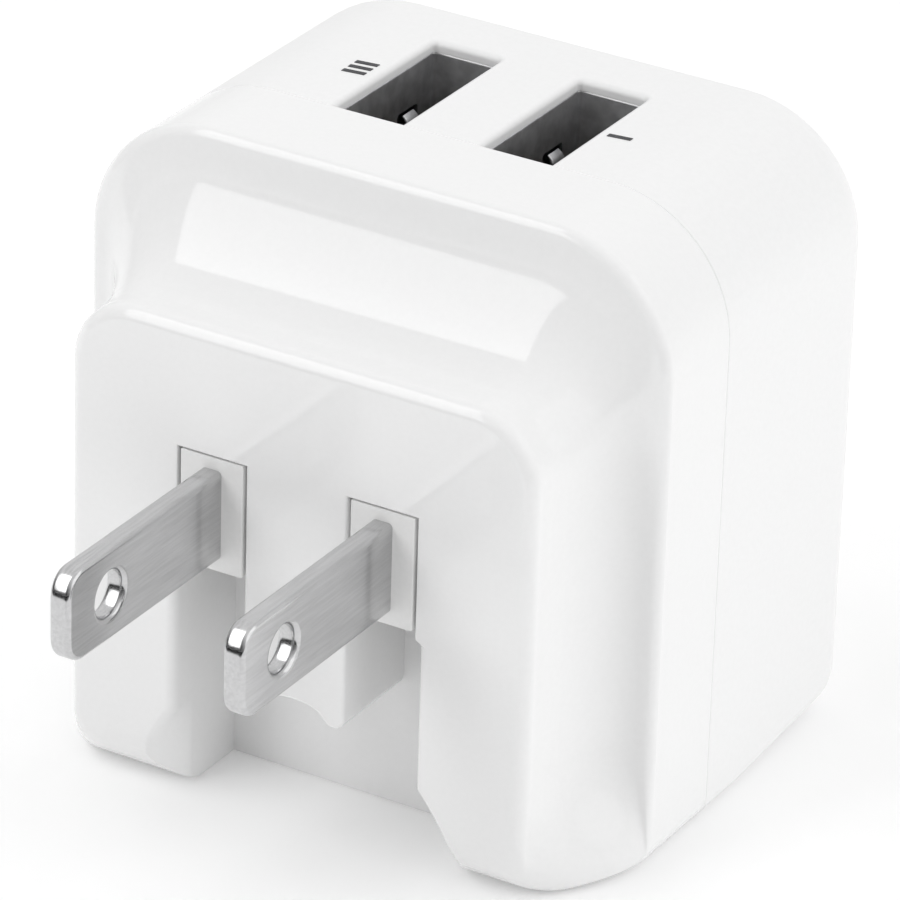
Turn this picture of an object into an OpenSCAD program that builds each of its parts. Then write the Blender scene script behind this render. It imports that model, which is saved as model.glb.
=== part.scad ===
// Two-port USB wall charger with a folding two-blade plug.
// Frame: origin midway between the blades on the flat face that meets the wall plate.
// +X is to the right seen from the blades, +Y runs into the housing, +Z is up towards the ports.

/* [Housing] */
// Half of the housing's width
main_half = 21.5; // [21:0.1:22]
// Height of the top face above the blades' centre line
main_top = 21.85; // [21.5:0.05:22.2]
// Depth of the bottom face below the blades' centre line
main_bottom = 21.7; // [21.4:0.1:22]
// Depth of the housing from the wall face to the rear face
depth = 36.2; // [35:0.1:37]
// Depth at which the two shells meet
parting_y = 16.6; // [16.5:0.05:16.7]
// Corner radius of the housing's two upper long edges
main_corner = 9; // [8:0.1:9.5]
// Corner radius of the two lower long edges
base_corner = 1.8; // [1.5:0.1:2]
// Extra radius that the lower edges gain by the rear face
base_corner_gain = 1.8; // [1:0.1:2]
// Rounding of the rear face's edge
rear_r = 3; // [2:0.1:3.4]
// Wall thickness of both shells
wall = 1.9; // [1.7:0.1:2]

/* [Wall face and cove] */
// Half of the raised face's width
face_half = 17.2; // [17:0.1:17.4]
// Height of the raised face above the blades' centre line
face_top = 12.75; // [12.5:0.05:13]
// Corner radius of the raised face's upper corners
face_corner = 4.7; // [4:0.1:5]
// Height over which the cove fills out into the foot at each lower corner
flare_rise = 9; // [8:0.1:10]
// Rounding of the raised face's edge
edge_r = 0.9; // [0.8:0.1:1]
// Rounding between the raised face and the bottom
base_edge_r = 4; // [3.8:0.1:4.3]
// Depths at which the concave cove starts and ends
cove_start = 1.6; // [1.4:0.1:1.8]
cove_end = 8.8; // [8.6:0.1:9]
// Rounding of the edge where the cove meets the housing
lip_r = 0.7; // [0.5:0.1:0.8]

/* [Blades] */
// Distance between the blades' centres
blade_pitch = 12.7; // [12.7:0.1:12.7]
// Blade width, thickness and length outside the wall face
blade_w = 6.35; // [6.3:0.05:6.4]
blade_t = 1.52; // [1.5:0.01:1.55]
blade_len = 17.3; // [16:0.1:17.6]
// Rounding of the blade's tip corners, seen from the side
blade_tip_r = 1.7; // [1.2:0.1:2]
// Chamfer around the blade's tip and edges
blade_chamfer = 0.3; // [0.2:0.05:0.4]
// Distance of the blade's hole from the wall face, its radius and its countersink's radius
blade_hole_y = 12.6; // [11.9:0.1:12.8]
blade_hole_r = 1.59; // [1.55:0.01:1.65]
blade_hole_rim_r = 1.95; // [1.8:0.05:2]

/* [Folding carrier] */
// Depth of the hinge axis behind the wall face
pivot_y = 4; // [4:0.1:4]
// Half height of the carrier's blocks, which is also their rear radius
block_r = 4; // [3.9:0.1:4]
// Half width of one block
block_half = 2.15; // [2.1:0.05:2.2]
// Radius of the pivot stubs and their running clearance in the bearings
stub_r = 1.2; // [1.1:0.1:1.3]
stub_clearance = 0.05; // [0.03:0.01:0.08]
// Distance from the centre to the stubs' outer ends
stub_end = 12; // [11.9:0.1:12.1]

/* [Slots and finger recess] */
// Half width of the tongue between the slots
tongue_half = 3.8; // [3.7:0.05:3.9]
// Outer edge of a block's window, and of the wider slot below it
window_edge = 8.93; // [8.9:0.01:9]
slot_edge = 9.12; // [9.1:0.01:9.2]
// Height of the windows' upper edge and depth of their lower edge
window_top = 4.1; // [4.1:0.05:4.2]
window_drop = 4.5; // [4.4:0.1:4.6]
// Depth of the slots behind the wall face
slot_depth = 7.5; // [7.4:0.05:7.6]
// How far the bevels beside the finger recess widen it at the bottom of the wall face
left_bevel_w = 4.1; // [3.8:0.1:4.2]
right_bevel_w = 4.6; // [4.3:0.1:4.7]
// Depths of the two bevels
left_bevel_depth = 2.4; // [2.2:0.1:2.6]
right_bevel_depth = 6; // [5.8:0.1:6.2]

/* [USB ports] */
// Distance between the ports' centres
port_pitch = 11; // [10.8:0.1:11.2]
// Clear opening of a port, across and along
port_w = 5.12; // [5.1:0.01:5.2]
port_len = 12.5; // [12.4:0.1:12.6]
// Depth of the ports' centre behind the wall face
port_y = 23.05; // [23:0.05:23.1]
// Thickness of the plastic lip over each socket
port_lip = 0.8; // [0.7:0.1:0.9]

/* [Hidden] */

$fn = 48;
eps = 0.01;
far = 60;
corner_steps = 6;
flare_steps = 6;

// Plan shape of the foot: the half width that its curve starts from at the wall face, the depth at
// which it reaches the housing's full width, and the curve's power
flare_start = 16.2;
flare_end = 9;
flare_power = 1.7;

port_x = port_pitch / 2;
blade_x = blade_pitch / 2;

// Chamber that the carrier turns in
chamber_floor = -6;
chamber_y = 8.5;
chamber_wall = 1.2;
tongue_thickness = 1.5;
notch_half = stub_r + 0.15;

// Recess outline
slot_end = -15.3;
bevel_power = 1.45;
foot_z = -12;
foot_r = 0.83;
arch_r = 4.7;
arch_top = -11.6;

// Bearings, plate and screws that hold the carrier
ear_in = 10.5;
ear_r = 2.1;
plate_t = 1.2;
plate_half = 15.1;
plate_top = 5.5;
plate_bottom = -7.4;
screw_x = 12.9;
screw_z = -5;
screw_r = 0.95;
screw_head_r = 1.9;

// Boards
board_t = 1.6;
board_y = 12.4;
board_back = board_y + board_t;
board_half = 18.2;
deck_z = 4.8;
deck_top = deck_z + board_t;
deck_half = 14;
deck_end = 33;

// Sockets
socket_wall = 0.3;
socket_top = main_top - port_lip;
tongue_top = 18.9;

// ---------- helpers ----------

// Solid from depth y0 to depth y1 with its outline drawn in X and Z
module slab(y0, y1) {
    translate([0, y1, 0])
        rotate([90, 0, 0])
            linear_extrude(y1 - y0) children();
}

// Solid from x0 to x1 with its outline drawn in Y and Z
module side_slab(x0, x1) {
    translate([x0, 0, 0])
        rotate([90, 0, 90])
            linear_extrude(x1 - x0) children();
}

// Box between two corners
module box(lo, hi) {
    translate(lo) cube(hi - lo);
}

// Rectangle between two corners with round corners
module round_rect(lo, hi, r) {
    translate([lo[0] + r, lo[1]]) square([hi[0] - lo[0] - 2 * r, hi[1] - lo[1]]);
    translate([lo[0], lo[1] + r]) square([hi[0] - lo[0], hi[1] - lo[1] - 2 * r]);
    for (x = [lo[0] + r, hi[0] - r], z = [lo[1] + r, hi[1] - r])
        translate([x, z]) circle(r);
}

// Round bar along Y
module bar_y(x, z, r, y0, y1) {
    translate([x, y0, z]) rotate([-90, 0, 0]) cylinder(r = r, h = y1 - y0);
}

// Round bar along X about the hinge axis
module bar_x(x0, x1, r) {
    translate([x0, pivot_y, 0]) rotate([0, 90, 0]) cylinder(r = r, h = x1 - x0);
}

// ---------- outer surface ----------

// Inset of a quarter round of radius r at distance d from the face that it starts on
function round_in(d, r) = d < r ? r - sqrt(r * r - (r - d) * (r - d)) : 0;

// Share of the way from the raised face's outline to the housing's, along the cove
function cove(y) = y <= cove_start ? 0 :
    y >= cove_end ? 1 :
    1 - sqrt(1 - pow((y - cove_start) / (cove_end - cove_start), 2));

// One edge of the outline at depth y, between its face value and its housing value
function edge_at(y, face, main) = y < cove_end
    ? face - round_in(y, edge_r) + (main - lip_r - face) * cove(y)
    : main - round_in(y - cove_end, lip_r) - round_in(depth - y, rear_r);

function half_at(y) = edge_at(y, face_half, main_half);
function top_at(y) = edge_at(y, face_top, main_top);
function bottom_at(y) = -main_bottom + round_in(y, base_edge_r) + round_in(depth - y, rear_r);
function corner_at(y) = edge_at(y, face_corner, main_corner);
function base_corner_at(y) =
    base_corner + base_corner_gain * max(0, (y - parting_y - 5) / (depth - parting_y - 5));

// How far the foot reaches to the side at depth y
function flare_half(y) = y < flare_end
    ? flare_start + (main_half - flare_start) * (1 - pow(1 - y / flare_end, flare_power))
    : main_half;

// Share of the foot's width that is left at height h above the bottom
function flare_share(h) = let (t = min(1, h / flare_rise)) pow(1 - t, 2) * (1 + 2 * t);

// Right side of the outline at depth y, from the bottom up: the lower corner, then the fading flare
function side_at(y) =
    let (half = half_at(y),
        low = bottom_at(y),
        r = base_corner_at(y),
        extra = y < cove_end + lip_r ? max(0, flare_half(y) - half) : 0)
    concat(
        [for (i = [0:corner_steps])
            let (a = -90 + 90 * i / corner_steps, h = r + r * sin(a))
            [half + extra * flare_share(h) - r + r * cos(a), low + h]],
        [for (i = [1:flare_steps])
            let (h = r + (flare_rise - r) * i / flare_steps)
            [half + extra * flare_share(h), low + h]]);

// Whole outline of the outer surface at depth y, anticlockwise from the lower right corner
function section_points(y) =
    let (side = side_at(y), last = len(side) - 1, a = half_at(y), z = top_at(y), r = corner_at(y))
    concat(side,
        corner_points(a - r, z - r, r, 0),
        corner_points(r - a, z - r, r, 90),
        [for (i = [last:-1:0]) [-side[i][0], side[i][1]]]);

// Points of one round corner about (x, z), from angle a0 through a quarter turn
function corner_points(x, z, r, a0) =
    [for (i = [0:corner_steps])
        let (a = a0 + 90 * i / corner_steps)
        [x + r * cos(a), z + r * sin(a)]];

// Outline of half width a between heights z0 and z1, with upper and lower corner radii
function outline_points(a, z0, z1, r1, r0) = concat(
    corner_points(a - r1, z1 - r1, r1, 0),
    corner_points(r1 - a, z1 - r1, r1, 90),
    corner_points(r0 - a, z0 + r0, r0, 180),
    corner_points(a - r0, z0 + r0, r0, 270));

module outline(a, z0, z1, r1, r0) {
    polygon(outline_points(a, z0, z1, r1, r0));
}

// Solid through a list of sections, each a depth and its outline, anticlockwise seen from the front
module loft(sections) {
    n = len(sections[0][1]);
    last = len(sections) - 1;
    points = [for (s = sections) for (p = s[1]) [p[0], s[0], p[1]]];
    front = [for (k = [n - 1:-1:0]) k];
    back = [for (k = [0:n - 1]) last * n + k];
    sides = [for (i = [0:last - 1], k = [0:n - 1])
        for (f = [[i * n + k, i * n + (k + 1) % n, (i + 1) * n + (k + 1) % n],
            [i * n + k, (i + 1) * n + (k + 1) % n, (i + 1) * n + k]])
            f];
    polyhedron(points, concat([front, back], sides));
}

front_depths = concat(
    [for (a = [0, 45]) edge_r * (1 - cos(a))],
    [edge_r, cove_start, 2.4, 3.3],
    [for (a = [22.5:22.5:90]) cove_start + (cove_end - cove_start) * sin(a)],
    [for (a = [45, 90]) cove_end + lip_r * (1 - cos(a))],
    [parting_y]);

rear_depths = concat(
    [parting_y, parting_y + 5],
    [for (a = [0:22.5:90]) depth - rear_r + rear_r * sin(a)]);

// Solid of the outer surface through a list of depths
module outer_loft(depths) {
    loft([for (y = depths) [y, section_points(y)]]);
}

// Inside outline of the shells, set in by the wall
module inner_outline(half, z0, z1, corner) {
    outline(half - wall, z0 + wall, z1 - wall, corner - wall, 1);
}

// ---------- housing ----------

// Space inside the front shell, behind the raised face and then behind the cove
module front_cavity() {
    waist = 7.5;
    open = 11;
    slab(wall, waist)
        inner_outline(face_half, -main_bottom, face_top, face_corner);
    hull() {
        slab(waist, waist + eps)
            inner_outline(face_half, -main_bottom, face_top, face_corner);
        slab(open, open + eps)
            inner_outline(main_half, -main_bottom, main_top, main_corner);
    }
    slab(open, parting_y + 1)
        inner_outline(main_half, -main_bottom, main_top, main_corner);
}

// Walls around the carrier's chamber, the slots and the finger recess
module recess_walls() {
    t = chamber_wall;
    foot_wall = 3.9;
    slab(0.5, chamber_y) {
        translate([-slot_edge - t, slot_end]) square([2 * (slot_edge + t), window_top + t - slot_end]);
        translate([-slot_edge - foot_wall, -main_bottom + 1.2])
            square([2 * (slot_edge + foot_wall), slot_end + t + main_bottom - 1.2]);
    }
}

// Outline of everything that is open in front of the recess's back wall
module recess_outline() {
    for (s = [-1, 1]) {
        // slot and the window above it
        translate([s > 0 ? tongue_half : -window_edge, -window_drop])
            square([window_edge - tongue_half, window_top + window_drop]);
        translate([s > 0 ? tongue_half : -slot_edge, slot_end])
            square([slot_edge - tongue_half, -window_drop - slot_end]);
    }
    // finger recess
    translate([-slot_edge, -far]) square([2 * slot_edge, far + slot_end]);
    // below the tongue
    translate([-tongue_half - eps, slot_end - eps])
        square([2 * (tongue_half + eps), foot_z - slot_end + eps]);
}

// Outline at depth y of the space that a bevel opens to the right of the finger recess.
// Width w and depth d are the bevel's own, and power p rounds it from the wall face inwards.
function bevel_points(y, w, d, p) =
    let (fade = pow(1 - max(0, y) / d, p),
        low = -main_bottom - 1,
        inner = slot_edge - 1)
    concat([[inner, low]],
        [for (i = [6:-1:0])
            let (t = i / 6)
            [slot_edge + w * fade * (1 - pow(1 - t, bevel_power)), slot_end + t * (low - slot_end)]],
        [[inner, slot_end]]);

function reversed(points) = [for (i = [len(points) - 1:-1:0]) points[i]];

module right_bevel() {
    d = right_bevel_depth;
    loft([for (y = [-1, 0, d - 0.1]) [y, bevel_points(y, right_bevel_w, d, 1)]]);
}

module left_bevel() {
    d = left_bevel_depth;
    loft([for (y = [-1, 0, 0.5, 1.1, 1.7, d - 0.1])
        [y, reversed([for (p = bevel_points(y, left_bevel_w, d, 1.5)) [-p[0], p[1]]])]]);
}

// Lower end of the tongue: an arch between two round feet
module tongue_end() {
    difference() {
        translate([-tongue_half, foot_z]) square([2 * tongue_half, arch_top + 1 - foot_z]);
        translate([0, arch_top - arch_r]) circle(arch_r);
    }
    for (s = [-1, 1])
        translate([s * (tongue_half - foot_r), foot_z]) circle(foot_r);
}

module prong_shell() {
    boss_r = 2;
    boss_bore = screw_r + 0.05;
    color("white")
    difference() {
        union() {
            difference() {
                outer_loft(front_depths);
                front_cavity();
            }
            intersection() {
                outer_loft(front_depths);
                recess_walls();
            }
            for (s = [-1, 1])
                bar_y(s * screw_x, screw_z, boss_r, wall - 0.5, chamber_y);
            // lip that lines up the rear shell
            lip_ring(parting_y - 3, parting_y, -0.4);
            lip_ring(parting_y - 0.5, parting_y + 1.4, 0.1);
        }
        difference() {
            slab(-1, slot_depth) recess_outline();
            slab(-2, slot_depth + 1) tongue_end();
        }
        left_bevel();
        right_bevel();
        // chamber behind the tongue, and the bearings' notches
        box([-slot_edge, tongue_thickness, chamber_floor], [slot_edge, chamber_y + eps, window_top]);
        for (s = [-1, 1])
            box([s * (slot_edge + 1) - 2, pivot_y - notch_half, -notch_half],
                [s * (slot_edge + 1) + 2, chamber_y + eps, notch_half]);
        // core of the tongue
        box([-2.5, tongue_thickness, -10.4], [2.5, chamber_y + eps, chamber_floor - 1.2]);
        for (s = [-1, 1])
            bar_y(s * screw_x, screw_z, boss_bore, wall + 0.4, chamber_y + 1);
        socket_relief();
    }
}

// Ring inside the walls from depth y0 to depth y1, with a gap between it and the wall
module lip_ring(y0, y1, gap) {
    ring_t = 0.9;
    inner = wall + ring_t;
    outer = wall + gap;
    difference() {
        intersection() {
            slab(y0, y1)
                outline(main_half - outer, -main_bottom + outer, main_top - outer, main_corner - outer, 1);
            box([-far, y0, -far], [far, y1, main_top - main_corner]);
        }
        slab(y0 - 1, y1 + 1)
            outline(main_half - inner, -main_bottom + inner, far, 2, 1);
        // cleared behind the finger recess
        box([-slot_edge - 4, y0 - 1, -far], [slot_edge + 4, y1 + 1, -main_bottom + 4]);
    }
}

// Room for the sockets under the lip of the top wall
module socket_relief() {
    gap = 0.15;
    half_w = port_w / 2 + socket_wall + gap;
    half_l = port_len / 2 + socket_wall + gap;
    for (s = [-1, 1])
        box([s * port_x - half_w, port_y - half_l, 0],
            [s * port_x + half_w, port_y + half_l, socket_top]);
}

module usb_shell() {
    color("white")
    difference() {
        outer_loft(rear_depths);
        slab(parting_y - 1, depth - wall)
            inner_outline(main_half, -main_bottom, main_top, main_corner);
        // port openings, whose front edge is the front shell's edge
        for (s = [-1, 1])
            box([s * port_x - port_w / 2, parting_y - 1, main_top - wall - 1],
                [s * port_x + port_w / 2, port_y + port_len / 2, main_top + 1]);
        socket_relief();
    }
}

// ---------- folding plug ----------

// Side view of a blade, in Y and Z, set in by d
module blade_outline(d) {
    round_rect([-blade_len + d, -blade_w / 2 + d], [0, blade_w / 2 - d], blade_tip_r);
    translate([-blade_tip_r * 2, -blade_w / 2 + d])
        square([blade_tip_r * 2 + pivot_y, blade_w - 2 * d]);
}

// Hole with a countersink on both sides
module blade_hole() {
    sink = 0.3;
    h = blade_t / 2;
    for (s = [-1, 1])
        translate([s * (h - sink / 2), -blade_hole_y, 0])
            rotate([0, 90, 0])
                cylinder(r1 = s < 0 ? blade_hole_rim_r : blade_hole_r,
                    r2 = s < 0 ? blade_hole_r : blade_hole_rim_r, h = sink, center = true);
    translate([0, -blade_hole_y, 0])
        rotate([0, 90, 0]) cylinder(r = blade_hole_r, h = 2 * blade_t, center = true);
}

// One blade about its own centre plane, with a tail that ends flush with the carrier's round back
module blade() {
    core = blade_t / 2 - blade_chamfer;
    difference() {
        union() {
            side_slab(-core, core) blade_outline(0);
            side_slab(-blade_t / 2, blade_t / 2) blade_outline(blade_chamfer);
        }
        blade_hole();
    }
    intersection() {
        side_slab(-core, core)
            translate([pivot_y - eps, -blade_w / 2]) square([block_r, blade_w]);
        bar_x(-blade_t, blade_t, block_r);
    }
}

module left_blade() {
    color("silver") translate([-blade_x, 0, 0]) blade();
}

module right_blade() {
    color("silver") translate([blade_x, 0, 0]) blade();
}

// Space that a blade takes in its block
module blade_seat() {
    side_slab(-blade_t / 2, blade_t / 2)
        translate([-1, -blade_w / 2]) square([pivot_y + 1, blade_w]);
    side_slab(-blade_t / 2 + blade_chamfer, blade_t / 2 - blade_chamfer)
        translate([0, -blade_w / 2]) square([pivot_y + block_r + 1, blade_w]);
}

module prong_carrier() {
    cam_half = 1.9;
    cam_r = 2.2;
    color("white")
    difference() {
        union() {
            for (s = [-1, 1]) {
                x0 = s * blade_x - block_half;
                box([x0, 0, -block_r], [x0 + 2 * block_half, pivot_y, block_r]);
                bar_x(x0, x0 + 2 * block_half, block_r);
            }
            bar_x(-stub_end, stub_end, stub_r);
            // cam between the blocks that the detent spring rests against
            intersection() {
                bar_x(-blade_x, blade_x, cam_r);
                box([-blade_x, pivot_y - cam_half, -cam_half],
                    [blade_x, pivot_y + cam_half, cam_half]);
            }
        }
        for (s = [-1, 1])
            translate([s * blade_x, 0, 0]) blade_seat();
    }
}

// Plate that closes the chamber, with two bearings for the carrier's stubs
module prong_retainer() {
    window_half = 1.7;
    color("gainsboro")
    difference() {
        union() {
            slab(chamber_y, chamber_y + plate_t)
                round_rect([-plate_half, plate_bottom], [plate_half, plate_top], 2);
            for (s = [-1, 1]) {
                x0 = s > 0 ? ear_in : -stub_end;
                box([x0, pivot_y, -ear_r], [x0 + stub_end - ear_in, chamber_y + eps, ear_r]);
                bar_x(x0, x0 + stub_end - ear_in, ear_r);
            }
        }
        for (s = [-1, 1]) {
            bar_x(s * (stub_end + ear_in) / 2 - 2, s * (stub_end + ear_in) / 2 + 2, stub_r + stub_clearance);
            bar_y(s * screw_x, screw_z, screw_r + 0.15, chamber_y - 1, chamber_y + 3);
            // window for a contact
            box([s * blade_x - window_half, chamber_y - 1, 0.1],
                [s * blade_x + window_half, chamber_y + 3, 3.7]);
        }
    }
}

module retainer_screws() {
    head_h = 1.1;
    color("silver")
    for (s = [-1, 1])
        difference() {
            union() {
                bar_y(s * screw_x, screw_z, screw_r, wall + 1, chamber_y + plate_t + eps);
                bar_y(s * screw_x, screw_z, screw_head_r, chamber_y + plate_t, chamber_y + plate_t + head_h);
            }
            // cross recess
            for (a = [0, 90])
                translate([s * screw_x, chamber_y + plate_t + head_h, screw_z])
                    rotate([0, a, 0]) cube([2.2, 1.2, 0.45], center = true);
        }
}

// Bowed leaf that clicks the carrier into its two positions
module detent_spring() {
    leaf_half = 2.4;
    leaf_t = 0.3;
    front = 6.4;
    reach = 2.6;
    foot = 1.3;
    color("lightsteelblue")
    side_slab(-leaf_half, leaf_half) {
        translate([front, -reach]) square([leaf_t, 2 * reach]);
        for (s = [-1, 1]) {
            translate([front, s * reach - leaf_t / 2]) square([chamber_y - front, leaf_t]);
            translate([chamber_y - leaf_t, s > 0 ? reach : -reach - foot]) square([leaf_t, foot]);
        }
    }
}

// Leaf that touches a blade's tail and carries current to the main board
module contact(x) {
    strip_half = 1.4;
    strip_t = 0.4;
    front = 8.2;
    color("goldenrod") {
        side_slab(x - strip_half, x + strip_half) {
            translate([front, 0.5]) square([strip_t, 2.9]);
            translate([front, 3.4 - strip_t]) square([board_y - front, strip_t]);
            translate([board_y - strip_t, 3.4 - strip_t]) square([strip_t, 3]);
        }
        // dimple
        intersection() {
            translate([x, front + 0.6, 1.8]) sphere(r = 0.7);
            box([x - 1, front - 0.3, 1], [x + 1, front + 0.1, 2.6]);
        }
    }
}

module live_contact() {
    contact(blade_x);
}

module neutral_contact() {
    contact(-blade_x);
}

// ---------- boards ----------

module insulating_sheet() {
    color("ivory")
    difference() {
        slab(11.2, 11.4) round_rect([-16, -16], [16, 12], 3);
        for (s = [-1, 1])
            box([s * blade_x - 2, 11, 1.5], [s * blade_x + 2, 12, 7]);
    }
}

module main_board() {
    color("darkgreen")
    difference() {
        union() {
            slab(board_y, board_back) round_rect([-board_half, -18.6], [board_half, 12], 1);
            slab(board_y, board_back) round_rect([-12, 8], [12, 18.6], 1);
        }
        // slot that the port board's tab goes into
        box([-6.2, board_y - 1, deck_z - 0.1], [6.2, board_back + 1, deck_top + 0.1]);
    }
}

module usb_board() {
    color("darkgreen") {
        box([-deck_half, board_back + 0.2, deck_z], [deck_half, deck_end, deck_top]);
        box([-6, board_y, deck_z], [6, board_back + 0.3, deck_top]);
    }
}

module board_link_pins() {
    pin = 0.6;
    pin_z = 3.4;
    reach = 2.6;
    color("gold")
    for (i = [-1.5:1:1.5])
        side_slab(i * 2.54 - pin / 2, i * 2.54 + pin / 2) {
            translate([board_back, pin_z]) square([reach, pin]);
            translate([board_back + reach - pin, pin_z]) square([pin, deck_z - pin_z]);
        }
}

// ---------- mains side ----------

transformer_x = -8.2;
transformer_z = -10.6;

module transformer_core() {
    color("dimgray")
    translate([transformer_x, 21.6, transformer_z]) {
        difference() {
            cube([16, 9.6, 13], center = true);
            for (s = [-1, 1])
                translate([s * 4.6, 0, 0]) cube([3.4, 12, 9], center = true);
        }
    }
}

module transformer_bobbin() {
    color("black")
    translate([transformer_x, 0, transformer_z]) {
        difference() {
            union() {
                slab(board_back, 15.4) round_rect([-7.5, -6.8], [7.5, 6.8], 0.8);
                slab(27.2, 28) round_rect([-6.1, -6.4], [6.1, 6.4], 0.8);
                for (z = [-4.4, 3.9])
                    translate([0, 21.6, z + 0.25]) cube([12.4, 12.6, 0.5], center = true);
            }
            translate([0, 21.6, 0]) cube([5.9, 20, 13.2], center = true);
        }
    }
}

module transformer_winding() {
    color("khaki")
    translate([transformer_x, 21.3, transformer_z])
        for (s = [-1, 1])
            translate([s * 4.6, 0, 0]) cube([3.2, 11.6, 7.6], center = true);
}

// Radial electrolytic standing on the main board, with a rolled groove near its base
module can(x, z, r, h) {
    translate([x, board_back, z])
        rotate([-90, 0, 0])
            rotate_extrude()
                difference() {
                    round_can(r, h);
                    translate([r, 2]) circle(0.35);
                }
}

module round_can(r, h) {
    edge = 0.5;
    square([r - edge, h]);
    translate([0, edge]) square([r, h - 2 * edge]);
    for (y = [edge, h - edge])
        translate([r - edge, y]) circle(edge);
}

module input_capacitors() {
    color("midnightblue") {
        can(4.4, -14.4, 3.8, 14);
        can(12.8, -14.4, 3.8, 14);
    }
}

module input_inductor() {
    color("darkred")
    translate([4.6, board_back, -7])
        rotate([-90, 0, 0])
            rotate_extrude() {
                square([2.2, 9]);
                square([3.2, 1]);
                translate([0, 8]) square([3.2, 1]);
            }
}

module fuse_resistor() {
    color("seagreen") {
        translate([12, 18, -9.5]) cylinder(r = 1.7, h = 8);
        for (z = [-10, -1])
            translate([12, 18, z]) cylinder(r = 0.35, h = 0.6);
        for (z = [-9.9, -0.7])
            bar_y(12, z, 0.35, board_back, 18.2);
    }
}

module safety_capacitor() {
    color("royalblue") {
        translate([15.2, 19.2, -5.4]) rotate([0, 90, 0]) cylinder(r = 3.6, h = 2.8);
        for (z = [-7.4, -3.4])
            bar_y(16.6, z, 0.35, board_back, 17);
    }
}

// Flat chip with legs, on the rear of the main board
module chip(x, z, w, h, t, legs) {
    box([x - w / 2, board_back + 0.1, z - h / 2], [x + w / 2, board_back + t, z + h / 2]);
    step = w / legs;
    for (i = [0:legs - 1], s = [-1, 1])
        translate([x - w / 2 + step * (i + 0.5), board_back + 0.25, z + s * (h / 2 + 0.4)])
            cube([0.5, 0.5, 1], center = true);
}

module bridge_rectifier() {
    color("black") chip(15.6, 1.6, 4.7, 3.8, 2.5, 2);
}

module controller_chip() {
    color("black") chip(-12.5, 10.5, 4.9, 3.9, 1.6, 4);
}

module optocoupler() {
    color("whitesmoke") chip(-15.4, 1.2, 4.6, 5.4, 3.4, 2);
}

// ---------- output side ----------

module output_capacitors() {
    color("silver") {
        can(-8.9, 0.4, 2.9, 9);
        can(2.4, -0.2, 2.9, 9);
    }
}

module output_rectifier() {
    color("black") chip(8.6, 1.2, 4.3, 2.6, 2.2, 1);
}

module charging_chip() {
    color("black") {
        box([10.6, 22, deck_top], [13.4, 25, deck_top + 1.1]);
        for (i = [0:2], s = [-1, 1])
            translate([12 + s * 1.6, 22.55 + i * 0.95, deck_top + 0.2]) cube([0.6, 0.35, 0.4], center = true);
    }
}

// ---------- ports ----------

// Folded metal shell of a socket about its own centre
module socket_shell() {
    w = port_w + 2 * socket_wall;
    l = port_len + 2 * socket_wall;
    color("silver")
    difference() {
        translate([-w / 2, -l / 2, deck_top]) cube([w, l, socket_top - deck_top]);
        translate([-port_w / 2, -port_len / 2, deck_top + 1])
            cube([port_w, port_len, socket_top - deck_top]);
        // windows around the spring fingers
        for (s = [-1, 1], y = [-3, 3])
            translate([s * w / 2, y, 15.6]) cube([2, 2.6, 5], center = true);
    }
    color("silver")
    for (s = [-1, 1], y = [-3, 3])
        spring_finger(s, y);
}

// Finger that grips the plug, bent inwards at its free end
module spring_finger(s, y) {
    finger_half = 0.9;
    bend = 0.45;
    x = port_w / 2;
    translate([0, y + finger_half, 0])
        rotate([90, 0, 0])
            linear_extrude(2 * finger_half)
                polygon([[s * (x + socket_wall), 13], [s * (x + socket_wall), 14.2],
                    [s * (x - bend + 0.3), 16.9], [s * (x + 0.1), 17.6], [s * (x - 0.15), 17.7],
                    [s * (x - bend), 16.9], [s * x, 14.2], [s * x, 13]]);
}

// Plastic tongue that carries the contacts, nearer to the socket's right wall
module socket_tongue() {
    color("black") {
        translate([-0.1, -5.55, deck_top + 1]) cube([1.84, 11.1, tongue_top - deck_top - 1]);
        translate([-port_w / 2 + 0.05, -port_len / 2 + 0.05, deck_top + 1])
            cube([port_w - 0.1, port_len - 0.1, 1.6]);
    }
}

// Four contacts on the tongue's left side
module socket_contacts() {
    color("gold")
    for (y = [-3.5, -1, 1, 3.5])
        translate([-0.35, y - 0.5, deck_top + 2.6]) cube([0.25, 1, 8]);
}

module left_socket_shell() {
    translate([-port_x, port_y, 0]) socket_shell();
}

module right_socket_shell() {
    translate([port_x, port_y, 0]) socket_shell();
}

module left_socket_tongue() {
    translate([-port_x, port_y, 0]) socket_tongue();
}

module right_socket_tongue() {
    translate([port_x, port_y, 0]) socket_tongue();
}

module left_socket_contacts() {
    translate([-port_x, port_y, 0]) socket_contacts();
}

module right_socket_contacts() {
    translate([port_x, port_y, 0]) socket_contacts();
}

// ---------- printed marks ----------

// Short slanted bars beside a port: more bars mean more current
module port_mark(x, y, bars) {
    ink = 0.04;
    color("dimgray")
    translate([x, y, main_top])
        for (i = [0:bars - 1])
            translate([0, i * 0.8, 0])
                linear_extrude(ink)
                    polygon([[-0.8, 0], [-0.8, 0.4], [0.8, 0.6], [0.8, 0.2]]);
}

module left_port_mark() {
    port_mark(-port_x - 4.2, 21.6, 3);
}

module right_port_mark() {
    port_mark(port_x + 4.2, 22.4, 1);
}

prong_shell();
usb_shell();
left_blade();
right_blade();
prong_carrier();
prong_retainer();
retainer_screws();
detent_spring();
live_contact();
neutral_contact();
insulating_sheet();
main_board();
usb_board();
board_link_pins();
transformer_core();
transformer_bobbin();
transformer_winding();
input_capacitors();
input_inductor();
fuse_resistor();
safety_capacitor();
bridge_rectifier();
controller_chip();
optocoupler();
output_capacitors();
output_rectifier();
charging_chip();
left_socket_shell();
right_socket_shell();
left_socket_tongue();
right_socket_tongue();
left_socket_contacts();
right_socket_contacts();
left_port_mark();
right_port_mark();
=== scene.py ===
import math
import bpy
import bmesh
from mathutils import Matrix, Vector


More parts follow.
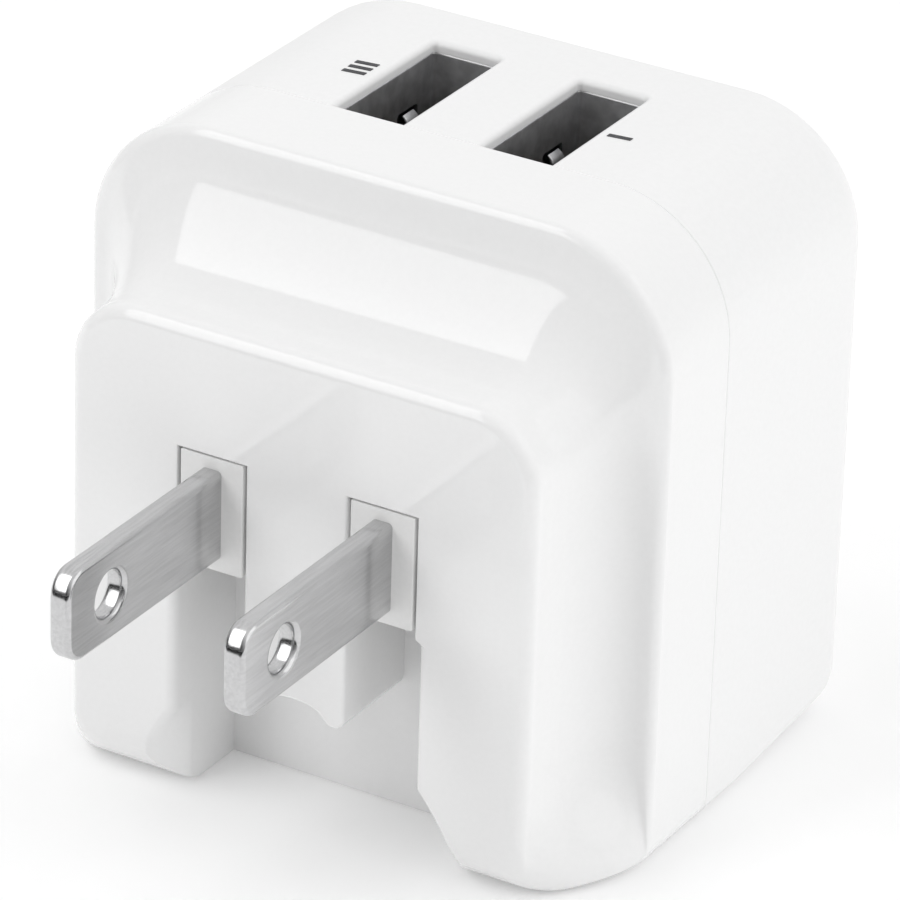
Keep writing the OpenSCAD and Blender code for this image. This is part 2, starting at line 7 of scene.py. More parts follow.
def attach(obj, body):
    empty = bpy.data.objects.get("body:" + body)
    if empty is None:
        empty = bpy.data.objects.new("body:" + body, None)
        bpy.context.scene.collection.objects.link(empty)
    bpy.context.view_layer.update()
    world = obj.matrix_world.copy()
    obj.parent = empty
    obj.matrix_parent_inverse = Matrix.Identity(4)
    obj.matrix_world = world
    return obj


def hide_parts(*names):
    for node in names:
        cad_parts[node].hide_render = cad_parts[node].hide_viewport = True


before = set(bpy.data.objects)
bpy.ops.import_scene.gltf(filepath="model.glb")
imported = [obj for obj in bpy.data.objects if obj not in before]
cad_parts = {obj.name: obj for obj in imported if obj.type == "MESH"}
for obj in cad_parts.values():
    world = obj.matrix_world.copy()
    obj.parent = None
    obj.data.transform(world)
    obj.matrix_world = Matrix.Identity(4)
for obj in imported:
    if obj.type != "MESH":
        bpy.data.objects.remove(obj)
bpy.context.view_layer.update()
mm = 0.001     # the pieces are measured in millimetres, the studio in metres
overrun = 1.0  # how far a cutter runs past what it cuts
print("frame loaded with", len(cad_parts), "nodes")


def clearSelection():
    if bpy.context.object and bpy.context.object.mode != "OBJECT":
        bpy.ops.object.mode_set(mode="OBJECT")
    bpy.ops.object.select_all(action="DESELECT")


def takeActive(piece):
    clearSelection()
    piece.select_set(True)
    bpy.context.view_layer.objects.active = piece


def placeRing(piece, ring):
    # the newest ring of vertices is the selected one with the highest numbers
    mesh = bmesh.from_edit_mesh(piece.data)
    mesh.verts.ensure_lookup_table()
    newest = sorted((v for v in mesh.verts if v.select), key=lambda v: v.index)[-len(ring):]
    for vertex, place in zip(newest, ring):
        vertex.co = Vector(place) * mm
    bmesh.update_edit_mesh(piece.data)


def loft(name, rings):
    # a disc is laid on the first ring, then extruded from ring to ring
    clearSelection()
    bpy.ops.mesh.primitive_circle_add(vertices=len(rings[0]), radius=mm, fill_type="NGON")
    piece = bpy.context.object
    piece.name = piece.data.name = name
    bpy.ops.object.mode_set(mode="EDIT")
    placeRing(piece, rings[0])
    for ring in rings[1:]:
        bpy.ops.mesh.extrude_region_move()
        placeRing(piece, ring)
    bpy.ops.mesh.select_all(action="SELECT")
    bpy.ops.mesh.normals_make_consistent(inside=False)
    bpy.ops.object.mode_set(mode="OBJECT")
    return piece


def join(pieces, name):
    clearSelection()
    for piece in pieces:
        piece.select_set(True)
    bpy.context.view_layer.objects.active = pieces[0]
    bpy.ops.object.join()
    pieces[0].name = pieces[0].data.name = name
    return pieces[0]


def carve(piece, cutter, operation="DIFFERENCE"):
    modifier = piece.modifiers.new("carve", "BOOLEAN")
    modifier.operation = operation
    modifier.object = cutter
    modifier.solver = "EXACT"
    takeActive(piece)
    bpy.ops.object.modifier_apply(modifier=modifier.name)
    bpy.data.objects.remove(cutter, do_unlink=True)


def smooth(piece, degrees):
    # edges sharper than this stay sharp
    takeActive(piece)
    bpy.ops.object.shade_smooth_by_angle(angle=math.radians(degrees))
    modifier = piece.modifiers.new("face weights", "WEIGHTED_NORMAL")
    modifier.keep_sharp = True
    modifier.weight = 50
    for modifier in list(piece.modifiers):
        bpy.ops.object.modifier_apply(modifier=modifier.name)


def evenSteps(start, end, count):
    return [start + (end - start) * i / count for i in range(count + 1)]


def roundDepths(radius, angles):
    # depths of the steps down a rounded edge
    return [radius * (1 - math.cos(math.radians(a))) for a in angles]


def roundInset(distance, radius):
    # how far a rounded edge still stands back, at a distance from where it starts
    if distance >= radius:
        return 0.0
    return radius - math.sqrt(max(0.0, radius * radius - (radius - distance) ** 2))


def growAt(depth, radius):
    # how far the rounded edge of an opening spreads, at a depth below the face
    return radius if depth < 0 else roundInset(depth, radius)


def roundedOutline(left, right, low, high, radii, steps):
    # radii run from the upper right corner anticlockwise
    corners = [(right, high, -1, -1, 0), (left, high, 1, -1, 90),
               (left, low, 1, 1, 180), (right, low, -1, 1, 270)]
    points = []
    for (x, z, sx, sz, turn), r in zip(corners, radii):
        r = max(r, 0.001)
        for angle in evenSteps(turn, turn + 90, steps):
            a = math.radians(angle)
            points.append((x + sx * r + r * math.cos(a), z + sz * r + r * math.sin(a)))
    return points


def boxOutline(y, left, right, low, high, radius=0.0):
    return [(x, y, z) for x, z in roundedOutline(left, right, low, high, [radius] * 4, 6)]


def makeBlock(name, xLimits, yLimits, zLimits, radius=0.0):
    return loft(name, [boxOutline(y, *xLimits, *zLimits, radius) for y in yLimits])


# both shells, measured from the wall face (y) and the blades' centre line (z)
housing = {
    "halfWidth": 21.5, "top": 21.85, "bottom": -21.7, "depth": 36.2,
    "parting": 16.6, "seam": 0.07,                                    # where the shells meet
    "cornerRadius": 9.0, "cornerSteps": 14, "rearRounding": 3.0,
    "baseCorner": 1.8, "baseCornerGain": 1.8, "gainSetback": 5.0,     # rounder towards the rear
    "baseRounding": 4.0,                                              # lower edge of the wall face
    "faceHalf": 17.2, "faceTop": 12.75, "faceCorner": 4.7, "faceRounding": 0.9,
    "coveStart": 1.6, "coveEnd": 8.8, "lipRounding": 0.7,             # the hollow round the wall face
    "flareRise": 9.0, "flareStart": 16.2, "flareEnd": 9.0, "flarePower": 1.7,  # the cove's two feet
    "wall": 1.9, "narrowCorner": 2.8, "narrowEnd": 7.5, "wideCorner": 6.0, "wideStart": 11.0,
}


def coveShare(y):
    # 0 at the wall face, 1 where the cove has reached the full width
    h = housing
    if y <= h["coveStart"]:
        return 0.0
    if y >= h["coveEnd"]:
        return 1.0
    t = (y - h["coveStart"]) / (h["coveEnd"] - h["coveStart"])
    return 1 - math.sqrt(1 - t * t)


def rearInset(y):
    return roundInset(housing["depth"] - y, housing["rearRounding"])


def edgeAt(y, face, main):
    # a size that is face at the wall face and main behind the cove
    h = housing
    if y < h["coveEnd"]:
        return face - roundInset(y, h["faceRounding"]) + (main - h["lipRounding"] - face) * coveShare(y)
    return main - roundInset(y - h["coveEnd"], h["lipRounding"]) - rearInset(y)


def flareHalf(y):
    h = housing
    if y >= h["flareEnd"]:
        return h["halfWidth"]
    share = 1 - (1 - y / h["flareEnd"]) ** h["flarePower"]
    return h["flareStart"] + (h["halfWidth"] - h["flareStart"]) * share


def sideOutline(half, low, radius, extra):
    # from the bottom up: the lower corner, then the foot that fades into the cove
    rise = housing["flareRise"]
    turns = evenSteps(-math.pi / 2, 0, 14)
    straight = evenSteps(radius, rise, 12)[1:]
    heights = [radius * (1 + math.sin(a)) for a in turns] + straight
    insets = [radius * (1 - math.cos(a)) for a in turns] + [0.0] * len(straight)
    side = []
    for height, inset in zip(heights, insets):
        t = min(1.0, height / rise)
        side.append((half + extra * (1 - t) ** 2 * (1 + 2 * t) - inset, low + height))
    return side


def housingOutline(y, inset=0.0):
    h = housing
    half = edgeAt(y, h["faceHalf"], h["halfWidth"]) - inset
    top = edgeAt(y, h["faceTop"], h["top"]) - inset
    low = h["bottom"] + inset + roundInset(y, h["baseRounding"]) + rearInset(y)
    corner = edgeAt(y, h["faceCorner"], h["cornerRadius"]) - inset
    flared = y < h["coveEnd"] + h["lipRounding"]
    extra = max(0.0, flareHalf(y) - inset - half) if flared else 0.0
    gainStart = h["parting"] + h["gainSetback"]
    gain = max(0.0, (y - gainStart) / (h["depth"] - gainStart))
    side = sideOutline(half, low, h["baseCorner"] + h["baseCornerGain"] * gain, extra)
    steps = h["cornerSteps"]
    upper = roundedOutline(-half, half, top - 2 * corner, top, [corner] * 4, steps)[:2 * (steps + 1)]
    outline = side + upper + [(-x, z) for x, z in reversed(side)]
    return [(x, y, z) for x, z in outline]


def hollowOutline(y, half, top, corner):
    h = housing
    w = h["wall"]
    return boxOutline(y, w - half, half - w, h["bottom"] + w, top - w, corner)


# the windows round the blocks, the blades' slots under them and the finger recess
recess = {
    "tongueHalf": 3.8, "tongueWall": 1.5, "tongueRounding": 0.25,     # the tongue between the slots
    "windowEdge": 8.93, "windowTop": 4.1, "windowFoot": -4.5, "windowRounding": 0.12,
    "slotEdge": 9.12, "slotShoulder": 0.4, "slotDepth": 7.5, "slotEnd": -15.3, "slotRounding": 0.7,
    "chamberDepth": 8.5, "chamberFloor": -6.0, "notchReach": 3.0, "notchHalf": 1.35,
    "leftBevel": (4.1, 2.4, 1.5), "rightBevel": (4.6, 6.0, 1.0), "bevelPower": 1.45,  # width, depth, falloff
    "footZ": -12.0, "footRadius": 0.83,
    "archTop": -11.6, "archRadius": 4.7, "archPoints": (1.9, 1.2, 0.6, 0.0),
    "panWall": 1.2, "footWall": 3.9, "panStart": 0.5, "panCorner": 0.4,  # solid left round the recess
}


def recessSide(depth, bevel):
    # outer edge from the top down: window, slot, then the finger recess with its bevel
    c = recess
    window = c["windowEdge"] + growAt(depth, c["windowRounding"])
    slot = c["slotEdge"] + growAt(depth, c["slotRounding"])
    top = c["windowTop"] + growAt(depth, c["windowRounding"])
    side = [(window, top), (window, c["windowFoot"]), (slot, c["windowFoot"] - c["slotShoulder"])]
    low = housing["bottom"] - overrun
    width, deep, falloff = bevel
    fade = (1 - min(1.0, max(0.0, depth) / deep)) ** falloff
    for t in evenSteps(0, 1, 14):
        spread = width * fade * (1 - (1 - t) ** c["bevelPower"])
        soft = growAt(depth, c["slotRounding"]) * max(0.0, 1 - 2 * t)
        side.append((c["slotEdge"] + spread + soft, c["slotEnd"] + (low - c["slotEnd"]) * t))
    return side


def recessProfile(depth):
    # all that is open in front of the recess's back wall, at one depth
    c = recess
    g = growAt(depth, c["tongueRounding"])
    f = c["footRadius"]
    top = c["windowTop"] + growAt(depth, c["windowRounding"])
    # inner edge: the tongue's side, its round foot, then half of the arch between the feet
    inner = [(c["tongueHalf"] - g, top), (c["tongueHalf"] - g, c["footZ"])]
    for angle in range(0, 121, 20):
        a = math.radians(angle)
        inner.append((c["tongueHalf"] - f + (f - g) * math.cos(a), c["footZ"] - (f - g) * math.sin(a)))
    archCentre = c["archTop"] - c["archRadius"]
    inner += [(x, archCentre + math.sqrt((c["archRadius"] + g) ** 2 - x * x)) for x in c["archPoints"]]
    mirrored = [(-x, z) for x, z in inner[:-1]]
    left = [(-x, z) for x, z in recessSide(depth, c["leftBevel"])]
    right = recessSide(depth, c["rightBevel"])
    return inner + mirrored[::-1] + left + right[::-1]


def recessCutters():
    c = recess
    behind = c["chamberDepth"] + overrun
    depths = [-2.0, 0.0, 0.015, 0.05, 0.12, 0.2, 0.3, 0.42, 0.56, 0.7]
    depths += evenSteps(0.9, c["leftBevel"][1], 8) + [c["rightBevel"][1], c["slotDepth"]]
    slots = loft("slots", [[(x, depth, z) for x, z in recessProfile(depth)] for depth in depths])
    chamber = makeBlock("chamber", (-c["slotEdge"], c["slotEdge"]), (c["tongueWall"], behind),
                        (c["chamberFloor"], c["windowTop"]))
    reach = c["slotEdge"] + c["notchReach"]
    notches = makeBlock("notches", (-reach, reach), (carrier["pivotY"] - c["notchHalf"], behind),
                        (-c["notchHalf"], c["notchHalf"]))
    return [slots, chamber, notches]


def recessWalls():
    # what stays solid behind the slots and beside the finger recess
    c = recess
    depths = (c["panStart"], c["chamberDepth"])
    panReach = c["slotEdge"] + c["panWall"]
    footReach = c["slotEdge"] + c["footWall"]
    pan = makeBlock("pan", (-panReach, panReach), depths,
                    (c["slotEnd"], c["windowTop"] + c["panWall"]), c["panCorner"])
    foot = makeBlock("foot", (-footReach, footReach), depths,
                     (housing["bottom"], c["slotEnd"] + c["panWall"]), c["panCorner"])
    return [pan, foot]


def frontDepths():
    # closer together where the outline turns fast
    h = housing
    quarter = range(0, 91, 15)
    cove = h["coveEnd"] - h["coveStart"]
    depths = roundDepths(h["faceRounding"], quarter)
    depths += [h["coveStart"] + cove * math.sin(math.radians(a)) for a in range(0, 91, 6)]
    depths += [h["coveEnd"] + d for d in roundDepths(h["lipRounding"], quarter)]
    depths += [2.0, 2.4, 2.9, 3.4, 4.0]
    return sorted(set(round(d, 4) for d in depths)) + [11.5, 14.0]


def makeProngShell():
    h = housing
    last = h["parting"]
    rings = [housingOutline(y) for y in frontDepths() + [last - h["seam"]]]
    shell = loft("prongShell", rings + [housingOutline(last, h["seam"])])
    # inside: narrow behind the raised face, wide behind the cove
    narrow = [hollowOutline(y, h["faceHalf"], h["faceTop"], h["narrowCorner"])
              for y in (h["wall"], h["narrowEnd"])]
    wide = [hollowOutline(y, h["halfWidth"], h["top"], h["wideCorner"])
            for y in (h["wideStart"], last + overrun)]
    inner = loft("inner", narrow + wide)
    for wall in recessWalls():
        carve(inner, wall)
    carve(shell, inner)
    for cutter in recessCutters():
        carve(shell, cutter)
    for side in (-1, 1):
        carve(shell, portRelief(side, ports["y"] - ports["reliefReach"], last + overrun))
    smooth(shell, 32)
    return shell


# the two openings on top, centred on y, and the room under the wall for their sockets
ports = {
    "x": 5.5, "y": 23.05, "width": 5.12, "length": 12.5, "softEdge": 0.45, "corner": 0.35, "through": 4.0,
    "lip": 0.8, "reliefHalf": 3.0, "reliefLow": 8.0, "reliefReach": 6.7,
}


def portRelief(side, front, back):
    p = ports
    x = side * p["x"]
    return makeBlock("relief", (x - p["reliefHalf"], x + p["reliefHalf"]), (front, back),
                     (p["reliefLow"], housing["top"] - p["lip"]))


def portCutter(side):
    # the mouth is rounded on its left, right and back edges, and square at the parting line
    p = ports
    x = side * p["x"]
    front = housing["parting"] - overrun
    back = p["y"] + p["length"] / 2
    rings = []
    for depth in [-overrun] + roundDepths(p["softEdge"], (0, 20, 40, 60, 75, 90)) + [p["through"]]:
        grow = growAt(depth, p["softEdge"])
        half = p["width"] / 2 + grow
        corner = p["corner"] + grow
        outline = roundedOutline(x - half, x + half, front, back + grow, [corner, corner, 0, 0], 8)
        rings.append([(u, v, housing["top"] - depth) for u, v in outline])
    return loft("portMouth", rings)


def makeUsbShell():
    h = housing
    first = h["parting"]
    depths = [first + h["seam"], 19.0, first + h["gainSetback"], 25.0, 28.0, 31.0]
    rear = h["depth"] - h["rearRounding"]
    depths += [rear + h["rearRounding"] * math.sin(math.radians(a)) for a in range(0, 91, 10)]
    shell = loft("usbShell", [housingOutline(first, h["seam"])] + [housingOutline(y) for y in depths])
    ends = (first - overrun, h["depth"] - h["wall"])
    carve(shell, loft("inner", [hollowOutline(y, h["halfWidth"], h["top"], h["wideCorner"]) for y in ends]))
    for side in (-1, 1):
        carve(shell, portCutter(side))
        carve(shell, portRelief(side, first - overrun, ports["y"] + ports["reliefReach"]))
    smooth(shell, 32)
    return shell


blade = {
    "x": 6.35, "width": 6.35, "thickness": 1.52, "reach": 17.3, "tipRadius": 1.7, "edge": 0.34,
    "holeY": -12.6, "holeRadius": 1.59, "rimRadius": 1.98, "tailGap": 0.02,
}


def bladeOutline(inset):
    # the tail ends just inside the block's round back
    b = blade
    half = b["width"] / 2 - inset
    tail = carrier["pivotY"] + math.sqrt(carrier["blockRadius"] ** 2 - (b["width"] / 2) ** 2) - b["tailGap"]
    r = b["tipRadius"] - inset
    return roundedOutline(inset - b["reach"], tail, -half, half, [0, r, r, 0], 10)


def makeBlade(side):
    b = blade
    half = b["thickness"] / 2
    centre = side * b["x"]
    quarter = [math.radians(a) for a in range(0, 91, 18)]
    rings = [(b["edge"] * (1 - math.cos(a)) - half, b["edge"] * (1 - math.sin(a))) for a in quarter]
    rings += [(-x, inset) for x, inset in reversed(rings)]
    piece = loft("blade", [[(centre + x, y, z) for y, z in bladeOutline(inset)] for x, inset in rings])
    # hole with a rounded rim on both faces
    rim = b["rimRadius"] - b["holeRadius"]
    depths = [-0.5] + roundDepths(rim, (0, 25, 50, 70, 90))
    profile = [(depth - half, b["holeRadius"] + growAt(depth, rim)) for depth in depths]
    profile += [(-x, r) for x, r in reversed(profile)]
    circle = [math.radians(a) for a in range(0, 360, 5)]
    carve(piece, loft("hole", [[(centre + x, b["holeY"] + r * math.cos(a), r * math.sin(a)) for a in circle]
                               for x, r in profile]))
    smooth(piece, 28)
    return piece


# the blocks that hold the blades, and the bars that join them on the hinge line
carrier = {
    "pivotY": 4.0, "blockHalf": 2.38, "blockRadius": 4.0, "blockEdge": 0.16, "edgeStep": 0.3,
    "stubRadius": 1.2, "stubEnd": 12.0, "camRadius": 2.2, "camShort": 1.0,
}


def makeCarrierBlock(side):
    # flat in front, round behind the hinge line
    c = carrier
    edge = c["blockEdge"]
    r = c["blockRadius"]
    turns = [math.radians(a) for a in range(-90, 91, 6)]
    outline = [(0.0, -r)] + [(c["pivotY"] + r * math.cos(a), r * math.sin(a)) for a in turns] + [(0.0, r)]
    rings = [(share * edge - c["blockHalf"], inset) for share, inset in
             ((0.0, edge), (c["edgeStep"], edge * c["edgeStep"]), (1.0, 0.0))]
    rings += [(-x, inset) for x, inset in reversed(rings)]
    return loft("block", [[(side * blade["x"] + x, inset if y == 0 else y - inset / 2,
                            z * (1 - inset / r)) for y, z in outline] for x, inset in rings])


def makeCarrier():
    c = carrier
    piece = makeCarrierBlock(-1)
    carve(piece, makeCarrierBlock(1), "UNION")
    circle = [math.radians(a) for a in range(0, 360, 10)]
    for radius, end in ((c["stubRadius"], c["stubEnd"]), (c["camRadius"], blade["x"] - c["camShort"])):
        bar = loft("bar", [[(x, c["pivotY"] + radius * math.cos(a), radius * math.sin(a)) for a in circle]
                           for x in (-end, end)])
        carve(piece, bar, "UNION")
    # seats with the blades' own rounded edges
    for side in (-1, 1):
        flats = [side * blade["x"] + t * blade["thickness"] / 2 for t in (-1, 1)]
        seat = makeBlock("seat", flats, (-overrun, c["pivotY"] + c["blockRadius"] + overrun),
                         (-blade["width"] / 2, blade["width"] / 2), blade["edge"])
        carve(piece, seat)
    smooth(piece, 35)
    return piece


# drawn metal box under each opening; the rims' rings are depth below the mouth, step, corner
socket = {
    "metal": 0.3, "floor": 6.4, "floorSheet": 1.0,
    "outerRim": ((0.12, 0.0, 0.5), (0.03, 0.04, 0.46), (0.0, 0.12, 0.4)),
    "innerRim": ((0.15, 0.0, 0.25), (0.04, 0.05, 0.3), (-0.02, 0.12, 0.36)),
    "windowHalf": 1.3, "windowLow": 12.6, "windowHigh": 18.1, "windowCorner": 0.3,
}


def makeSocketShell(side):
    k = socket
    cx = side * ports["x"]
    cy = ports["y"]
    top = housing["top"] - ports["lip"]
    halfX = ports["width"] / 2
    halfY = ports["length"] / 2

    def ring(z, out, corner):
        return [(x, y, z) for x, y in roundedOutline(cx - halfX - out, cx + halfX + out, cy - halfY - out,
                                                     cy + halfY + out, [corner] * 4, 6)]

    outer = [ring(k["floor"], k["metal"], k["outerRim"][0][2])]
    outer += [ring(top - below, k["metal"] - step, corner) for below, step, corner in k["outerRim"]]
    inner = [ring(k["floor"] + k["floorSheet"], 0, k["innerRim"][0][2])]
    inner += [ring(top - below, step, corner) for below, step, corner in k["innerRim"]]
    shell = loft("socketShell", outer)
    carve(shell, loft("hollow", inner))
    rows = (-finger["pitch"] / 2, finger["pitch"] / 2)
    for row in rows:
        outline = roundedOutline(-k["windowHalf"], k["windowHalf"], k["windowLow"], k["windowHigh"],
                                 [k["windowCorner"]] * 4, 4)
        carve(shell, loft("window", [[(cx + x, cy + row + u, z) for u, z in outline]
                                     for x in (-halfX - overrun, halfX + overrun)]))
    fingers = [makeFinger(cx, cy + row, mirror) for mirror in (-1, 1) for row in rows]
    shell = join([shell] + fingers, "socketShell")
    smooth(shell, 40)
    return shell


# spring strip in each window; its route is lean outwards and height
finger = {
    "half": 0.9, "taper": 0.25, "halfThick": 0.12, "corner": 0.08, "pitch": 6.0,
    "route": ((0.15, 12.5), (0.13, 13.6), (0.0, 14.6), (-0.25, 15.8), (-0.45, 16.7), (-0.5, 17.0),
              (-0.45, 17.3), (-0.25, 17.6), (0.0, 17.8)),
}


def makeFinger(cx, cy, mirror):
    # rises inside its window, leans inwards and turns out again at its free end
    f = finger
    route = f["route"]
    rings = []
    for i, (lean, z) in enumerate(route):
        x = cx + mirror * (ports["width"] / 2 + lean)
        before = route[max(0, i - 1)]
        after = route[min(len(route) - 1, i + 1)]
        dx = mirror * (after[0] - before[0])
        dz = after[1] - before[1]
        length = math.hypot(dx, dz)
        nx, nz = dz / length, -dx / length
        half = f["half"] - f["taper"] * i / len(route)
        section = roundedOutline(-f["halfThick"], f["halfThick"], -half, half, [f["corner"]] * 4, 3)
        rings.append([(x + nx * u, cy + v, z + nz * u) for u, v in section])
    return loft("finger", rings)


def newMaterial(name):
    material = bpy.data.materials.new(name)
    material.use_nodes = True
    nodes = material.node_tree.nodes
    return material, nodes, material.node_tree.links, nodes["Principled BSDF"]


def addNoise(nodes, links, scale, detail=3.0, stretch=None):
    coords = nodes.new("ShaderNodeTexCoord")
    noise = nodes.new("ShaderNodeTexNoise")
    noise.inputs["Scale"].default_value = scale
    noise.inputs["Detail"].default_value = detail
    source = coords.outputs["Object"]
    if stretch:
        mapping = nodes.new("ShaderNodeMapping")
        mapping.inputs["Scale"].default_value = stretch
        links.new(source, mapping.inputs["Vector"])
        source = mapping.outputs["Vector"]
    links.new(source, noise.inputs["Vector"])
    return noise.outputs["Fac"]


def addRange(nodes, links, source, low, high):
    remap = nodes.new("ShaderNodeMapRange")
    remap.inputs["To Min"].default_value = low
    remap.inputs["To Max"].default_value = high
    links.new(source, remap.inputs["Value"])
    return remap.outputs["Result"]


def addTint(nodes, links, source, dark, light):
    ramp = nodes.new("ShaderNodeValToRGB")
    ramp.color_ramp.elements[0].position = 0.35
    ramp.color_ramp.elements[1].position = 0.65
    ramp.color_ramp.elements[0].color = (*dark, 1)
    ramp.color_ramp.elements[1].color = (*light, 1)
    links.new(source, ramp.inputs["Fac"])
    return ramp.outputs["Color"]


def addBump(nodes, links, source, shader, strength, distance):
    bump = nodes.new("ShaderNodeBump")
    bump.inputs["Strength"].default_value = strength
    bump.inputs["Distance"].default_value = distance
    links.new(source, bump.inputs["Height"])
    links.new(bump.outputs["Normal"], shader.inputs["Normal"])


def speckled(name, dark, light, scale, roughness, metal=0.0, bump=0.1, bumpSize=0.00002):
    material, nodes, links, shader = newMaterial(name)
    noise = addNoise(nodes, links, scale)
    links.new(addTint(nodes, links, noise, dark, light), shader.inputs["Base Color"])
    links.new(addRange(nodes, links, noise, *roughness), shader.inputs["Roughness"])
    shader.inputs["Metallic"].default_value = metal
    addBump(nodes, links, noise, shader, bump, bumpSize)
    return material


def brushedMetal(name, dark, light, across, along, roughness):
    # fine lines that run along the blade
    material, nodes, links, shader = newMaterial(name)
    noise = addNoise(nodes, links, 1.0, detail=4.0, stretch=(across, along, across))
    links.new(addTint(nodes, links, noise, dark, light), shader.inputs["Base Color"])
    links.new(addRange(nodes, links, noise, *roughness), shader.inputs["Roughness"])
    shader.inputs["Metallic"].default_value = 1.0
    addBump(nodes, links, noise, shader, 0.12, 0.00001)
    return material


# dark and light tint, scale of the grain, range of roughness
finishes = {
    "shellGloss": speckled("glossy white shell", (0.885, 0.885, 0.885), (0.895, 0.895, 0.895), 2600,
                           (0.07, 0.1), bump=0.02, bumpSize=0.00001),
    "shellSatin": speckled("satin white shell", (0.88, 0.88, 0.88), (0.895, 0.895, 0.895), 2600,
                           (0.34, 0.42), bump=0.2),
    "block": speckled("white nylon block", (0.85, 0.85, 0.845), (0.87, 0.87, 0.865), 2500,
                      (0.3, 0.38), bump=0.06),
    "nickel": brushedMetal("brushed nickel", (0.53, 0.53, 0.535), (0.61, 0.61, 0.615), 5000, 260,
                           (0.12, 0.26)),
    "steel": speckled("socket steel", (0.62, 0.62, 0.63), (0.74, 0.74, 0.75), 1200, (0.38, 0.52), metal=1.0,
                      bump=0.08),
    "zinc": speckled("zinc plated steel", (0.45, 0.45, 0.46), (0.6, 0.6, 0.6), 1500, (0.25, 0.4), metal=1.0),
    "bronze": speckled("contact bronze", (0.6, 0.36, 0.16), (0.75, 0.5, 0.25), 1500, (0.2, 0.35), metal=1.0),
    "gold": speckled("gold plate", (0.8, 0.55, 0.2), (0.95, 0.72, 0.32), 1500, (0.15, 0.3), metal=1.0),
    "film": speckled("insulating film", (0.75, 0.7, 0.55), (0.85, 0.82, 0.7), 500, (0.4, 0.5)),
    "board": speckled("green solder mask", (0.01, 0.12, 0.04), (0.02, 0.2, 0.07), 700, (0.25, 0.4)),
    "ferrite": speckled("ferrite", (0.03, 0.03, 0.035), (0.08, 0.08, 0.085), 2500, (0.5, 0.7), bump=0.4),
    "blackPlastic": speckled("black moulded plastic", (0.012, 0.012, 0.012), (0.03, 0.03, 0.03), 2500,
                             (0.4, 0.55), bump=0.3),
    "tape": speckled("winding tape", (0.75, 0.55, 0.08), (0.85, 0.68, 0.15), 400, (0.3, 0.4)),
    "sleeve": speckled("capacitor sleeve", (0.01, 0.02, 0.10), (0.02, 0.05, 0.2), 700, (0.25, 0.35)),
    "redSleeve": speckled("inductor sleeve", (0.2, 0.02, 0.015), (0.3, 0.05, 0.03), 700, (0.35, 0.5)),
    "resistor": speckled("resistor body", (0.08, 0.28, 0.14), (0.14, 0.38, 0.2), 1500, (0.4, 0.6)),
    "epoxy": speckled("blue epoxy", (0.02, 0.12, 0.45), (0.04, 0.2, 0.6), 500, (0.15, 0.25)),
    "palePlastic": speckled("pale plastic", (0.65, 0.65, 0.62), (0.78, 0.78, 0.75), 1500, (0.4, 0.5)),
    "bareCan": speckled("bare can", (0.55, 0.55, 0.56), (0.75, 0.75, 0.76), 1500, (0.25, 0.4), metal=1.0),
    "ink": speckled("grey ink", (0.03, 0.03, 0.035), (0.06, 0.06, 0.065), 2500, (0.5, 0.6)),
}
print(len(finishes), "finishes mixed")

# finishes of the pieces that keep their own shape
nodeFinish = {
    "prong_retainer": "block", "retainer_screws": "zinc", "detent_spring": "steel", "live_contact": "bronze",
    "neutral_contact": "bronze", "insulating_sheet": "film", "main_board": "board", "usb_board": "board",
    "board_link_pins": "gold", "transformer_core": "ferrite", "transformer_bobbin": "blackPlastic",
    "transformer_winding": "tape", "input_capacitors": "sleeve", "input_inductor": "redSleeve",
    "fuse_resistor": "resistor", "safety_capacitor": "epoxy", "bridge_rectifier": "blackPlastic",
    "controller_chip": "blackPlastic", "optocoupler": "palePlastic", "output_capacitors": "bareCan",
    "output_rectifier": "blackPlastic", "charging_chip": "blackPlastic", "left_socket_tongue": "blackPlastic",
    "right_socket_tongue": "blackPlastic", "left_socket_contacts": "gold", "right_socket_contacts": "gold",
    "left_port_mark": "ink", "right_port_mark": "ink",
}


def finishWith(piece, finish):
    piece.data.materials.clear()
    piece.data.materials.append(finishes[finish])


for nodeName, finish in nodeFinish.items():
    finishWith(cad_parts[nodeName], finish)
print(len(nodeFinish), "carried-over pieces finished")

# new piece, the node it stands for, the body it rides on and its finish
made = [
    (makeProngShell(), "prong_shell", "charger", "shellGloss"),
    (makeUsbShell(), "usb_shell", "charger", "shellSatin"),
    (makeBlade(-1), "left_blade", "prongs", "nickel"),
    (makeBlade(1), "right_blade", "prongs", "nickel"),
    (makeCarrier(), "prong_carrier", "prongs", "block"),
    (makeSocketShell(-1), "left_socket_shell", "charger", "steel"),
    (makeSocketShell(1), "right_socket_shell", "charger", "steel"),
]
for piece, node, body, finish in made:
    piece.name = piece.data.name = node + "_skin"
    finishWith(piece, finish)
    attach(piece, body)
    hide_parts(node)
    print("made", piece.name, "with", len(piece.data.polygons), "faces")

# angles in degrees, lengths in millimetres
view = {
    "azimuth": 30.178, "elevation": 27.032, "roll": 1.738,
    "distance": 417.62, "target": (5.276, 10.0, 3.618), "lens": 262.05,
}


def makeCamera():
    a, e, r = (math.radians(view[k]) for k in ("azimuth", "elevation", "roll"))
    back = Vector((math.sin(a) * math.cos(e), -math.cos(a) * math.cos(e), math.sin(e)))
    right = Vector((math.cos(a), math.sin(a), 0))
    up = back.cross(right)
    tiltedRight = right * math.cos(r) + up * math.sin(r)
    tiltedUp = up * math.cos(r) - right * math.sin(r)
    turn = Matrix((tiltedRight, tiltedUp, back)).transposed().to_4x4()
    camera = bpy.data.objects.new("camera", bpy.data.cameras.new("camera"))
    camera.matrix_world = Matrix.Translation((Vector(view["target"]) + back * view["distance"]) * mm) @ turn
    camera.data.lens = view["lens"]
    camera.data.clip_start = 0.01
    camera.data.clip_end = 10
    bpy.context.scene.collection.objects.link(camera)
    bpy.context.scene.camera = camera


